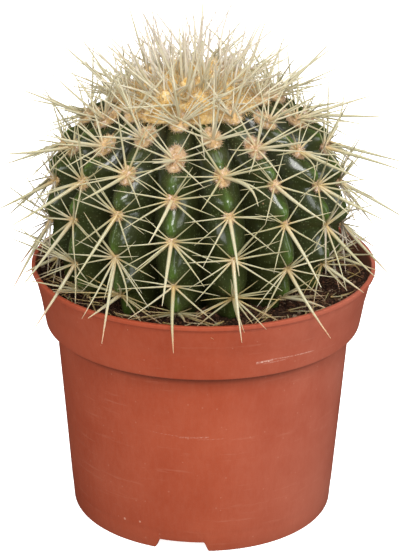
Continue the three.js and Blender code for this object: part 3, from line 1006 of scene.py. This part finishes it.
# Shortens a spine until its tip lies inside the plant's reach
def fittedLength(root, way, length):
    start, course = plantPlace @ root, plantTurn @ way
    room = [length]
    for k in (0, 1):
        if abs(course[k]) > 1e-6:
            room.append((starSizes["sideReach"] - copysign(1, course[k]) * start[k]) / abs(course[k]))
    if course.z > 0:
        room.append((starSizes["topReach"] - start.z) / course.z)
    return min(room)


# One spine in the scene's own frame, slightly bowed; it shows from its base, and is aimed from its root
def spineAt(root, wanted, length, girth, draw, tone, base=None):
    way = clearWay(root, wanted, length)
    turned = degrees(way.angle(wanted))
    kept = 1 - starSizes["cut"] * smoothStep(turned, *starSizes["cutTurn"])
    tip = root + way * fittedLength(root, way, length) * kept
    base = root if base is None else base
    reach = (tip - base).length
    aim = plantTurn @ (tip - base).normalized()
    side = aim.cross(Vector((draw(-1, 1), draw(-1, 1), draw(-1, 1)))).normalized()
    amount = reach * draw(-1, 1) * starSizes["hookBow" if draw(0, 1) < starSizes["hookShare"] else "bow"]
    return {"root": plantPlace @ base, "aim": aim, "reach": reach * mm, "girth": girth * mm,
            "bend": side * amount * mm, "tone": tone, "turned": turned}


# Half the width and half the height of an areole's felt, larger on the young areoles
def padSize(angle):
    young = fade(angle, -30, 66) ** 2
    return 0.9 + 2.9 * young, 0.65 + 1.05 * young


# One areole's spines; draw is the stream for the main ones, own the stream for everything else
def starSpines(place, draw, own):
    spines = []
    young = fade(place["angle"], *starSizes["young"])
    low = radians(starSizes["radialRise"])
    radialRise = low + radians(starSizes["crownRise"] - starSizes["radialRise"]) * young
    wide = radians(starSizes["clockSpread"])
    padWidth, padHeight = padSize(place["angle"])
    pale = 0.55 * young + own(0, 0.15)
    # Painted shade: spines on areoles facing the sides are a darker rose-grey
    roseShare = starSizes["roseShare"] * smoothStep(abs((plantTurn @ place["out"]).x), *starSizes["roseFrom"])

    def radial(pair, hand, stream, rises, lengths, girths):
        angle, length, girth = pair
        clock = hand * (radians(angle) + stream(-wide, wide))
        rise = radialRise + radians(stream(*rises))
        length = length * stream(*lengths) * (1 + starSizes["youngGain"] * young)
        girth = girth * own(*girths)
        depth = starSizes["rootDepth"] + starSizes["flankDrop"] * abs(sin(clock))
        flat = direction(place, clock, 0)
        root = place["place"] + flat * starSizes["rootSpread"] - place["out"] * depth
        base = place["pad"] + flat * 0.22 * padWidth + place["out"] * 0.45 * padHeight
        tone = pale + own(-0.1, 0.15) if place["step"] > bodySizes["lowestStep"] + 1 else own(-1, 0)
        tone = own(1.5, 2) if own(0, 1) < roseShare else tone
        return spineAt(root, direction(place, clock, rise), length, girth, own, tone, base)

    for pair in starSizes["pairs"]:
        for hand in (-1, 1):
            spines.append(radial(pair, hand, draw, *starSizes["pairSpread"]))
    for pair in starSizes["extraPairs"]:
        for hand in (-1, 1):
            extra = radial(pair, hand, own, *starSizes["extraSpread"])
            share = starSizes["extraShare"] + starSizes["extraGain"] * young
            if extra["turned"] < starSizes["mostTurned"] and own(0, 1) < share:
                spines.append(extra)

    heart = place["place"] - place["out"] * 2 * starSizes["rootDepth"]
    middle = place["pad"] + place["out"] * 0.3 * padHeight

    def central(clock, rise, length, girth, tone):
        spines.append(spineAt(heart, direction(place, clock, rise), length, girth, own, tone, middle))

    low, off = radians(starSizes["centralRise"]), radians(starSizes["centralSpread"])
    rise = low + (pi / 2 - low) * young + radians(draw(-6, 10))
    central(pi + draw(-off, off), rise, starSizes["centralLength"] * draw(0.9, 1.12),
            starSizes["centralGirth"] * (1 - 0.32 * young), own(0, 0.3) + 0.4 * young)
    for k in range(starSizes["extraCentrals"]):
        if own(0, 1) < starSizes["centralShare"] * (0.8 + 1.6 * young):
            clock = pi + own(-1.3, 1.3) * (1 + young)
            rise = low + radians(own(-8, 30) - 8 * young)
            length = own(*starSizes["centralBand"]) * (1 + 0.35 * young)
            central(clock, rise, length, starSizes["centralHair"], own(0, 0.3) + 0.4 * young)
    for hand in (-1, 1):
        for clocks, rises, riseGain, lengths, lengthGain, girth, share, shareGain in starSizes["uppers"]:
            clock, rise = hand * own(*clocks), radians(own(*rises) + riseGain * young)
            length = own(*lengths) * (1 + lengthGain * young)
            if own(0, 1) < share * (1 + shareGain * young):
                central(clock, rise, length, girth, pale)
    return spines


# The areoles that show below the crown
def bodyAreoles():
    return areolesBetween(bodySizes["lowestStep"], bodySizes["highestStep"])


def bodySpineList():
    draw, own = makeDraw(2719), makeDraw(5407)
    return [spine for place in bodyAreoles() for spine in starSpines(place, draw, own)]


bodySpines = growSpines("bodySpines", bodySpineList())
report(bodySpines)


feltSizes = {
    "Pad lumps": 0.75 * mm, "Lump scale": 800.0, "Hairs": 3.5e6, "Hair length": 1.0 * mm,
    "Hair girth": 0.08 * mm, "Tip share": 0.3, "Lean": 0.8, "Seed": 11,
}


# A surface with hairs all over it, which lean every way
def withHairs(surface, source, rings):
    tree = surface.id_data
    points = scatter(surface, source["Hairs"], source["Seed"])
    lean = scaled(randomVector(tree, (-1, -1, -1), (1, 1, 1)), source["Lean"])
    aim = vectorCalc("NORMALIZE", vectorCalc("ADD", points["Normal"], lean))
    reach = times(source["Hair length"], randomBetween(0.5, 1.3, source["Seed"], 3))
    bend = scaled(lean, times(reach, 0.25))
    hairs = growShafts(points[0], aim, reach, source["Hair girth"], bend, 3, rings, source["Tip share"])
    both = addNode(tree, "GeometryNodeJoinGeometry")
    for geometry in (surface, hairs):
        link(geometry, both.inputs[0])
    return both.outputs[0]


# Woolly lumps on points, then hairs all over them
def makeFeltTree():
    tree, source = startTree("feltGrowth", feltSizes)
    ball = ballOf(tree, 3)
    turn = addStep("FunctionNodeAxesToRotation", {
        "Primary Axis": namedVector(tree, "out"), "Secondary Axis": namedVector(tree, "up")},
        primary_axis="Z", secondary_axis="Y")
    pads = realise(putOn(source["Geometry"], ball, turn, namedVector(tree, "size")))
    pads = smoothed(makeLumpy(pads, source["Lump scale"], 2.0, source["Pad lumps"], 2.0))
    return endTree(withHairs(pads, source, 2), areoleWool)


padSizes = {
    "width": (0.9, 1.1), "length": (1.15, 1.4), "youngLength": 0.15, "young": (30, 66), "youngShift": 1.6,
    "golden": (42, 72), "leftward": (0.2, 0.8), "leftGold": 0.8, "goldSpread": 0.35,
}


def areolePads(seed):
    draw = makeDraw(seed)
    pads = bodyAreoles()
    for pad in pads:
        width, height = padSize(pad["angle"])
        width *= draw(*padSizes["width"])
        young = fade(pad["angle"], *padSizes["young"])
        pad["size"] = (width, width * (draw(*padSizes["length"]) + padSizes["youngLength"] * young), height)
        pad["pad"] = pad["pad"] + pad["up"] * padSizes["youngShift"] * young
        leftward = smoothStep(-(plantTurn @ pad["out"]).x, *padSizes["leftward"])
        onLeft = padSizes["leftGold"] * leftward + draw(0, padSizes["goldSpread"])
        pad["golden"] = max(fade(pad["angle"], *padSizes["golden"]), onLeft)
    return pads


def padPoints(pads):
    vectors = {key: [plantTurn @ pad[key] for pad in pads] for key in ("out", "up")}
    vectors["size"] = [[part * mm for part in pad["size"]] for pad in pads]
    places = [plantPlace @ pad["pad"] * mm for pad in pads]
    return pointCloud("areoleFelt", places, {"tone": [pad["golden"] for pad in pads]}, vectors)


areoleFelt = runTree(padPoints(areolePads(331)), makeFeltTree(), feltSizes)
report(areoleFelt)


crownSizes = {
    "edge": 23.0, "thickness": 2.4, "gap": 0.3, "sunk": 0.4, "skirt": 1.2, "rings": 34, "columns": 144,
    "waves": 8, "waviness": 0.05, "tuft": 3.4, "tuftWidth": 2.8, "bumps": 1.2, "bumpScale": 0.45,
    "tuftSteps": (8, 9), "rootLift": 0.9, "rootReach": 15.4, "length": 23, "spread": 54,
    "lean": 34, "aim": 1.3,  # random lean in degrees and turn in radians
    "backLightGain": 0.3, "backLightDepth": (-14, 4),
    "crowds": [  # count, first number, turn in radians, reach, drop at the edge, lean, length, girth
        (74, 0, 0, 1, 0, 1, (0.6, 1.45), (0.42, 0.56)),
        (32, 0.37, 1.1, 1.25, 1.5, 1.3, (0.95, 1.5), (0.38, 0.5)),
    ],
    "tuftSpines": 3, "tuftLength": (7, 18), "tuftGirth": (0.32, 0.42),
    "bristles": 200, "bristleReach": 0.9, "bristleSpread": 60, "bristleLean": 25, "bristleAim": 0.9,
    "bristleLength": (5, 10), "bristleGirth": (0.22, 0.34), "bristleTone": (0.1, 0.8),
}
crownHair = {
    "Hairs": 2.2e6, "Hair length": 2.0 * mm, "Hair girth": 0.09 * mm, "Tip share": 0.3, "Lean": 0.6, "Seed": 23,
}


# Height of the body's crests at a distance from the middle, up to the pole
def crestHeight(radius):
    share = (radius / bodySizes["radius"]) ** (1 / bodySizes["roundness"])
    return bodySizes["upperHeight"] * sqrt(max(0, 1 - share * share)) ** bodySizes["roundness"]


# The youngest areoles, whose felt has grown together
def crownTufts():
    return [areoleFrame(rib, step) for step in crownSizes["tuftSteps"] for rib in range(bodySizes["ribs"])
            if (rib + step) % 2 == 0]


# Height of the felt, with a tuft over each young areole
def feltHeight(point, radius, share, centres):
    close = min((point.xy - centre.xy).length for centre in centres)
    bulge = crownSizes["tuft"] * exp(-(close / crownSizes["tuftWidth"]) ** 2)
    bulge += crownSizes["thickness"] * smoothStep(share, 0, 0.3)
    bulge += crownSizes["bumps"] * noise.noise(point * crownSizes["bumpScale"])
    return crestHeight(radius) - crownSizes["sunk"] + bulge


def makeCrownMesh():
    centres = [place["place"] for place in crownTufts()]
    low = crestHeight(crownSizes["edge"]) - crownSizes["skirt"]
    rings = [[onAxis(low)]]
    for i in range(crownSizes["rings"]):
        share = i / crownSizes["rings"]
        ring = []
        for around in columnAngles(crownSizes["columns"]):
            wavy = 1 + crownSizes["waviness"] * cos((around - firstRib) * crownSizes["waves"])
            wavy += crownSizes["waviness"] * noise.noise(onCircle(2, around, 5))
            radius = crownSizes["edge"] * wavy * (1 - share)
            point = onCircle(radius, around, 0)
            point.z = feltHeight(point, radius, share, centres) if i else low
            ring.append(point)
        rings.append(ring)
    rings.append([onAxis(bodySizes["upperHeight"] - crownSizes["sunk"] + crownSizes["thickness"])])
    return shellFromRings("crownFelt", placedRings(rings))


def makeCrownTree():
    source = startTree("crownWoolGrowth", crownHair)[1]
    return endTree(withHairs(smoothed(source["Geometry"]), source, 3), crownWool)


crownFelt = runTree(makeCrownMesh(), makeCrownTree(), crownHair)
report(crownFelt)


def polar(radius, turn, height):
    return Vector((radius * cos(turn), radius * sin(turn), height))


# Painted backlight: spines are paler towards the back of the crown
def crownTone(root, draw, low):
    gain = crownSizes["backLightGain"] * smoothStep((plantPlace @ root).y, *crownSizes["backLightDepth"])
    return draw(low, 0.75) + gain


def crownSpineList():
    draw = makeDraw(8123)
    spines = []
    rootHeight = crest(crownStart).y + crownSizes["gap"] + crownSizes["rootLift"]
    spreadOut, turnOut = crownSizes["lean"], crownSizes["aim"]
    for count, first, turned, reach, drop, leaning, lengths, girths in crownSizes["crowds"]:
        for i in range(count):
            share = min(sqrt((first + i + 0.5) / count), 1)
            turn = (first + i) * goldenTurn + turned
            root = polar(share * crownSizes["rootReach"] * reach, turn, rootHeight - drop * share)
            lean = radians(crownSizes["spread"] * share * leaning + draw(-spreadOut, spreadOut))
            way = polar(sin(lean), turn + draw(-turnOut, turnOut), cos(lean))
            length, girth = crownSizes["length"] * draw(*lengths), draw(*girths)
            spines.append(spineAt(root, way, length, girth, draw, crownTone(root, draw, 0.45)))
    for place in crownTufts():
        for k in range(crownSizes["tuftSpines"]):
            way = direction(place, draw(-pi, pi), radians(draw(20, 75)))
            root = place["place"] + place["out"] * crownSizes["thickness"] * 0.5
            tone = crownTone(root, draw, 0.4)
            length, girth = draw(*crownSizes["tuftLength"]), draw(*crownSizes["tuftGirth"])
            spines.append(spineAt(root, way, length, girth, draw, tone))
    spreadOut, turnOut = crownSizes["bristleLean"], crownSizes["bristleAim"]
    for i in range(crownSizes["bristles"]):
        share = sqrt((i + 0.5) / crownSizes["bristles"])
        turn = i * goldenTurn + 0.4
        radius = crownSizes["edge"] * crownSizes["bristleReach"] * share
        root = polar(radius, turn, crestHeight(radius) + 1)
        lean = radians(crownSizes["bristleSpread"] * share + draw(-spreadOut, spreadOut))
        way = polar(sin(lean), turn + draw(-turnOut, turnOut), cos(lean))
        length, girth = draw(*crownSizes["bristleLength"]), draw(*crownSizes["bristleGirth"])
        spines.append(spineAt(root, way, length, girth, draw, draw(*crownSizes["bristleTone"])))
    return spines


crownSpines = growSpines("crownSpines", crownSpineList())
report(crownSpines)


# What lies on the soil: crumbs, fibres and fallen spines
crumbSizes = {
    "Crumbs": 1.75e6, "Smallest": 0.32 * mm, "Largest": 1.05 * mm, "Roughness": 0.45, "Lump scale": 1900.0,
    "Reach": 56.6 * mm, "Seed": 5,
}
fibreSizes = {
    "Fibres": 1.6e5, "Shortest": 2.5 * mm, "Longest": 9.0 * mm, "Girth": 0.13 * mm, "Bow": 0.22,
    "Tip share": 0.6, "Reach": 49.5 * mm, "Seed": 17,
}


# The faces on top of the soil, up to a distance from the middle of the pot
def openFaces(tree, radius):
    place = addNode(tree, "GeometryNodeInputPosition").outputs[0]
    near = calc("LESS_THAN", axisDistance(place), radius)
    return times(near, calc("GREATER_THAN", named(tree, "open"), 0.99))


# A share of the way from one size to another
def between(low, high, share):
    return calc("ADD", low, times(share, calc("SUBTRACT", high, low)))


def makeCrumbTree():
    tree, source = startTree("crumbScatter", crumbSizes)
    seed = source["Seed"]
    points = scatter(source["Geometry"], source["Crumbs"], seed, openFaces(tree, source["Reach"]))
    grain = ballOf(tree, 1)
    turn = randomVector(tree, (0, 0, 0), (6.28, 6.28, 6.28))
    large = calc("POWER", randomBetween(0.0, 1.0, seed, 2), 3.0)
    size = between(source["Smallest"], source["Largest"], large)
    flat = times(size, randomBetween(0.5, 1.1, seed, 4))
    scale = addStep("ShaderNodeCombineXYZ", {0: size, 1: flat, 2: size})
    crumbs = putOn(points[0], grain, turn, scale)
    crumbs = store(crumbs, "tone", randomBetween(0.0, 1.0, seed, 6), "INSTANCE")
    crumbs = makeLumpy(realise(crumbs), source["Lump scale"], 1.0, source["Largest"], source["Roughness"])
    return endTree(crumbs, peat)


def makeFibreTree():
    tree, source = startTree("fibreScatter", fibreSizes)
    seed = source["Seed"]
    points = scatter(source["Geometry"], source["Fibres"], seed, openFaces(tree, source["Reach"]))
    aim = vectorCalc("NORMALIZE", randomVector(tree, (-1, -1, -0.12), (1, 1, 0.3)))
    reach = between(source["Shortest"], source["Longest"], randomBetween(0.0, 1.0, seed, 1))
    bend = scaled(randomVector(tree, (-1, -1, 0), (1, 1, 0.5), 9), times(reach, source["Bow"]))
    fibres = growShafts(points[0], aim, reach, source["Girth"], bend, 3, 6, source["Tip share"])
    return endTree(store(fibres, "tone", randomBetween(0.0, 1.0, seed, 8)), fibre)


soilCrumbs = runTree(showMesh("soilCrumbs", soilBed.data.copy()), makeCrumbTree(), crumbSizes)
soilFibres = runTree(showMesh("soilFibres", soilBed.data.copy()), makeFibreTree(), fibreSizes)


fallenSizes = {
    "count": 110, "ring": (46, 54), "lift": (0.3, 1.2), "turned": (0.35, 1.0), "rise": (-0.03, 0.2),
    "reach": (4, 11), "girth": (0.13, 0.26), "bow": 0.9, "tone": (-1.4, 0.2),
}


def fallenSpineList():
    draw = makeDraw(907)
    spines = []
    for i in range(fallenSizes["count"]):
        around = draw(0, fullTurn)
        root = onCircle(draw(*fallenSizes["ring"]), around, 0)
        root.z = soilHeightAt(root) + draw(*fallenSizes["lift"])
        sideways = draw(*fallenSizes["turned"]) * copysign(pi / 2, draw(-1, 1))
        aim = onCircle(1, around + sideways, draw(*fallenSizes["rise"]))
        reach, girth = draw(*fallenSizes["reach"]), draw(*fallenSizes["girth"])
        bend = aim.cross(onAxis(1)) * draw(-fallenSizes["bow"], fallenSizes["bow"])
        spines.append({"root": root, "aim": aim.normalized(), "reach": reach * mm, "girth": girth * mm,
                       "bend": bend * mm, "tone": draw(*fallenSizes["tone"])})
    return spines


fallenSpines = growSpines("fallenSpines", fallenSpineList())
for piece in (soilCrumbs, soilFibres, fallenSpines):
    report(piece)


# Pale floor, soft boxes and sky; the fill lights the front without showing in the skin
studio = {
    "floor": (0.93, 0.93, 0.925), "floorGrain": (0.88, 0.88, 0.87), "floorReach": 6000, "floorGlow": 0.85,
    "sky": (1.0, 0.99, 0.975), "skyStrength": 0.7, "aimAt": (0, 0, 100),
    "softboxes": [  # place, size, power, colour
        ((200, -760, 1120), (560, 420), 10.0, (1.0, 0.99, 0.98)),
        ((430, -900, 480), (220, 420), 1.4, (0.95, 0.98, 1.0)),
        ((330, -470, 40), (150, 180), 0.36, (0.93, 0.97, 1.0)),
        ((-780, -420, 380), (300, 420), 1.6, (0.95, 0.98, 1.0)),
        ((780, -260, 360), (300, 500), 1.35, (0.97, 0.985, 1.0)),
        ((0, 450, 1200), (900, 700), 7, (0.97, 0.985, 1.0)),
    ],
    "fill": ((-60, -820, 380), (900, 600), 2.2, (1.0, 0.99, 0.98)),
}


def makeFloor():
    reach = studio["floorReach"] * mm
    mesh = bpy.data.meshes.new("studioFloor")
    corners = [(-reach, -reach, 0), (reach, -reach, 0), (reach, reach, 0), (-reach, reach, 0)]
    mesh.from_pydata(corners, [], [(0, 1, 2, 3)])
    material, tree, shader = startMaterial("studioPaper", Roughness=0.8, Specular_IOR_Level=0.2)
    grain = patternValue(objectCoords(tree), ((90, 3), (0.3, 0.7, 0.0, 0.04)))
    link(blendColour(grain, studio["floor"], studio["floorGrain"]), shader.inputs["Base Color"])
    shader.inputs["Emission Color"].default_value = (1, 1, 1, 1)
    shader.inputs["Emission Strength"].default_value = studio["floorGlow"]
    mesh.materials.append(material)
    floor = showMesh("studioFloor", mesh)
    floor.visible_glossy = floor.visible_diffuse = False


def makeSky():
    world = bpy.data.worlds.new("studioSky")
    bpy.context.scene.world = world
    world.use_nodes = True
    sky = world.node_tree.nodes["Background"]
    sky.inputs["Color"].default_value = (*studio["sky"], 1)
    sky.inputs["Strength"].default_value = studio["skyStrength"]
    world.cycles_visibility.glossy = False


def makeLights():
    for i, (place, size, power, colour) in enumerate([*studio["softboxes"], studio["fill"]]):
        data = bpy.data.lights.new(f"softbox{i}", "AREA")
        data.shape = "RECTANGLE"
        data.size, data.size_y = size[0] * mm, size[1] * mm
        data.energy = power
        data.color = colour
        lamp = bpy.data.objects.new(f"softbox{i}", data)
        lamp.location = Vector(place) * mm
        aim = Vector(studio["aimAt"]) * mm - lamp.location
        lamp.rotation_euler = aim.to_track_quat("-Z", "Y").to_euler()
        bpy.context.scene.collection.objects.link(lamp)
        lamp.visible_glossy = i < len(studio["softboxes"])


makeFloor()
makeSky()
makeLights()
bpy.context.scene.view_settings.view_transform = "Standard"
print("studio lit")


# Which CAD node each piece stands for
standIns = {
    "pot": [potShell], "soil": [soilBed, soilCrumbs, soilFibres, fallenSpines],
    "cactus": [cactusBody, bodySpines, areoleFelt], "crown": [crownFelt, crownSpines],
}
for node, stood in standIns.items():
    for piece in stood:
        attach(piece, "root")
        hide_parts(node)
